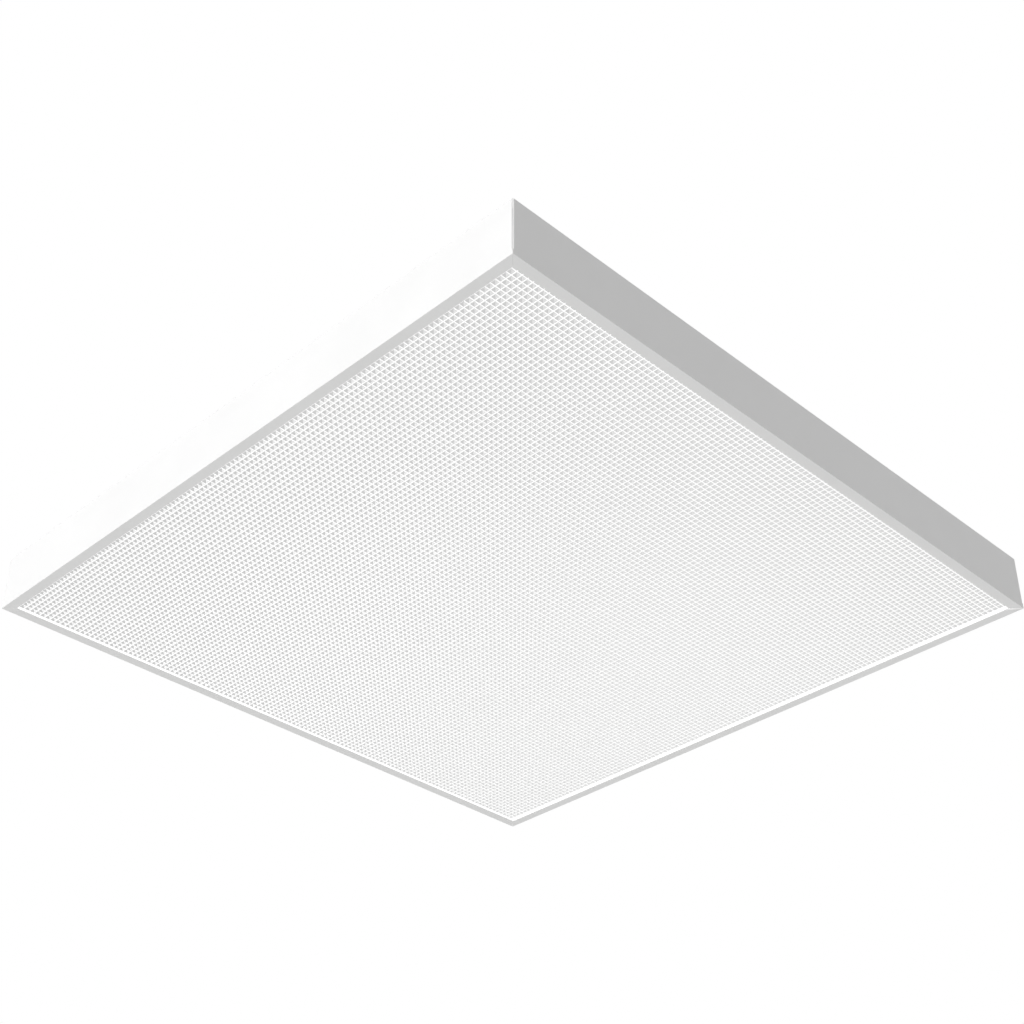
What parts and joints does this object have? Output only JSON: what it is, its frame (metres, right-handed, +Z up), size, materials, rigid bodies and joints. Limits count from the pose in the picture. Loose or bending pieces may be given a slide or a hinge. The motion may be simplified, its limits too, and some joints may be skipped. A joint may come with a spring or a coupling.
{
  "type": "recessed troffer light",
  "caption": "Square lay-in ceiling light with a shallow white frame, a prismatic diffuser on its lip, and a hinged wiring lid and swing-out grid clips on the back.",
  "frame": {"origin": "centre of the square at the bottom face of the lip", "axes": "+Z up into the ceiling void, away from the lit face; +X to the right and +Y to the rear along the sides"},
  "size_m": [0.595, 0.595, 0.0536],
  "materials": {
    "powder_coat_white": "fine matt powder coat",
    "back_steel": "white coated sheet steel",
    "key_steel": "zinc plated",
    "zinc_steel": "zinc plated",
    "clip_steel": "zinc plated sheet",
    "prismatic_acrylic": "translucent moulded acrylic with pyramid dimples",
    "gasket_foam": "closed-cell foam",
    "reflector_white": "high-reflectance white",
    "board_white": "white solder mask",
    "led_phosphor": "yellow phosphor",
    "connector_white": "moulded nylon",
    "jumper_white": "extruded insulation",
    "galvanised_steel": "galvanised sheet",
    "bushing_rubber": "moulded",
    "terminal_grey": "moulded polyamide",
    "lever_orange": "moulded",
    "tinned_copper": "tinned",
    "driver_case_white": "coated sheet steel",
    "board_green": "solder mask",
    "component_black": "moulded",
    "lead_brown": "extruded insulation",
    "lead_blue": "extruded insulation",
    "lead_earth": "extruded insulation",
    "lead_red": "extruded insulation",
    "lead_black": "extruded insulation"
  },
  "bodies": {
    "housing": {"back_cover": "back_steel", "back_cover_screws": "zinc_steel", "board_connectors": "connector_white", "board_jumpers": "jumper_white", "board_rivets": "connector_white", "cable_clamp": "zinc_steel", "cable_grommet": "bushing_rubber", "clip_rivets": "zinc_steel", "corner_key_screws": "zinc_steel", "corner_keys": "key_steel", "cover_rivets": "zinc_steel", "diffuser_gaskets": "gasket_foam", "diffuser_panel": "prismatic_acrylic", "driver_base": "driver_case_white", "driver_board": "board_green", "driver_components": "component_black", "driver_cover": "driver_case_white", "earth_lead": "lead_earth", "earth_nuts": "zinc_steel", "earth_stud": "zinc_steel", "gear_screws": "zinc_steel", "hanger_plates": "zinc_steel", "led_board_1": "board_white", "led_board_2": "board_white", "led_board_3": "board_white", "led_board_4": "board_white", "led_board_5": "board_white", "led_board_6": "board_white", "led_board_7": "board_white", "led_board_8": "board_white", "led_lead_negative": "lead_black", "led_lead_positive": "lead_red", "led_packages": "led_phosphor", "lid_hinge_leaf": "back_steel", "lid_hinge_pin": "zinc_steel", "live_lead": "lead_brown", "neutral_lead": "lead_blue", "rail_front": "powder_coat_white", "rail_left": "powder_coat_white", "rail_rear": "powder_coat_white", "rail_right": "powder_coat_white", "reflector_tray": "reflector_white", "ring_terminal": "tinned_copper", "terminal_block": "terminal_grey", "terminal_contacts": "tinned_copper", "tray_bushing": "bushing_rubber", "tray_standoffs": "zinc_steel", "wall_bushing": "bushing_rubber", "wiring_box": "galvanised_steel", "wiring_box_screws": "zinc_steel"},
    "access_lid": {"access_lid": "back_steel"},
    "lid_latch": {"lid_latch": "zinc_steel"},
    "terminal_lever_1": {"terminal_lever_1": "lever_orange"},
    "terminal_lever_2": {"terminal_lever_2": "lever_orange"},
    "terminal_lever_3": {"terminal_lever_3": "lever_orange"},
    "grid_clip_front_left": {"grid_clip_front_left": "clip_steel"},
    "grid_clip_front_right": {"grid_clip_front_right": "clip_steel"},
    "grid_clip_rear_left": {"grid_clip_rear_left": "clip_steel"},
    "grid_clip_rear_right": {"grid_clip_rear_right": "clip_steel"}
  },
  "joints": [
    {"name": "access_lid_hinge", "type": "hinge", "parent": "housing", "child": "access_lid", "pos_m": [0.122, -0.031, 0.0506], "axis": [-1, 0, 0], "range_deg": [0, 100]},
    {"name": "lid_latch_turn", "type": "hinge", "parent": "access_lid", "child": "lid_latch", "pos_m": [0.122, -0.118, 0.0493], "axis": [0, 0, -1], "range_deg": [0, 90]},
    {"name": "terminal_lever_1_hinge", "type": "hinge", "parent": "housing", "child": "terminal_lever_1", "pos_m": [0.115, -0.0508, 0.0352], "axis": [-1, 0, 0], "range_deg": [0, 85]},
    {"name": "terminal_lever_2_hinge", "type": "hinge", "parent": "housing", "child": "terminal_lever_2", "pos_m": [0.125, -0.0508, 0.0352], "axis": [-1, 0, 0], "range_deg": [0, 85]},
    {"name": "terminal_lever_3_hinge", "type": "hinge", "parent": "housing", "child": "terminal_lever_3", "pos_m": [0.135, -0.0508, 0.0352], "axis": [-1, 0, 0], "range_deg": [0, 85]},
    {"name": "grid_clip_front_left_swing", "type": "hinge", "parent": "housing", "child": "grid_clip_front_left", "pos_m": [-0.2, -0.2735, 0.04955], "axis": [0, 0, -1], "range_deg": [0, 90]},
    {"name": "grid_clip_front_right_swing", "type": "hinge", "parent": "housing", "child": "grid_clip_front_right", "pos_m": [0.2, -0.2735, 0.04955], "axis": [0, 0, 1], "range_deg": [0, 90]},
    {"name": "grid_clip_rear_left_swing", "type": "hinge", "parent": "housing", "child": "grid_clip_rear_left", "pos_m": [-0.2, 0.2735, 0.04955], "axis": [0, 0, 1], "range_deg": [0, 90]},
    {"name": "grid_clip_rear_right_swing", "type": "hinge", "parent": "housing", "child": "grid_clip_rear_right", "pos_m": [0.2, 0.2735, 0.04955], "axis": [0, 0, -1], "range_deg": [0, 90]}
  ]
}
